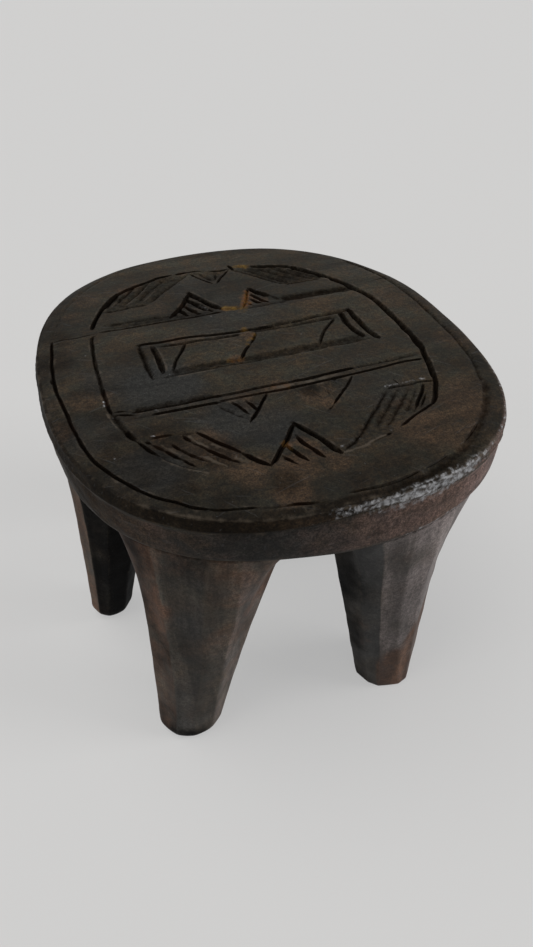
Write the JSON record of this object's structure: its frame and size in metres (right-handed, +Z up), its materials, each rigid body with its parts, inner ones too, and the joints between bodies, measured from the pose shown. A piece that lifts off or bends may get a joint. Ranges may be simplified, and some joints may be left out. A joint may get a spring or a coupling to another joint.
{
  "type": "carved wooden stool",
  "caption": "Low oval stool of dark carved wood: a slab seat with ring grooves and a cut geometric pattern, on stout faceted legs that taper to the floor.",
  "frame": {"origin": "on the floor, under the middle of the seat", "axes": "+Z up, +X along the carved bands of the seat, +Y along the seat's longer axis"},
  "size_m": [0.3322, 0.372, 0.258],
  "materials": {
    "seat_wood": "dark oiled and worn, near black in the cuts, brown where rubbed",
    "leg_wood": "dark oiled, long adzed facets, redder at the feet"
  },
  "bodies": {
    "root": {"seat": "seat_wood", "left_leg": "leg_wood", "front_left_leg": "leg_wood", "front_right_leg": "leg_wood", "right_leg": "leg_wood", "back_right_leg": "leg_wood", "back_left_leg": "leg_wood"}
  },
  "joints": []
}
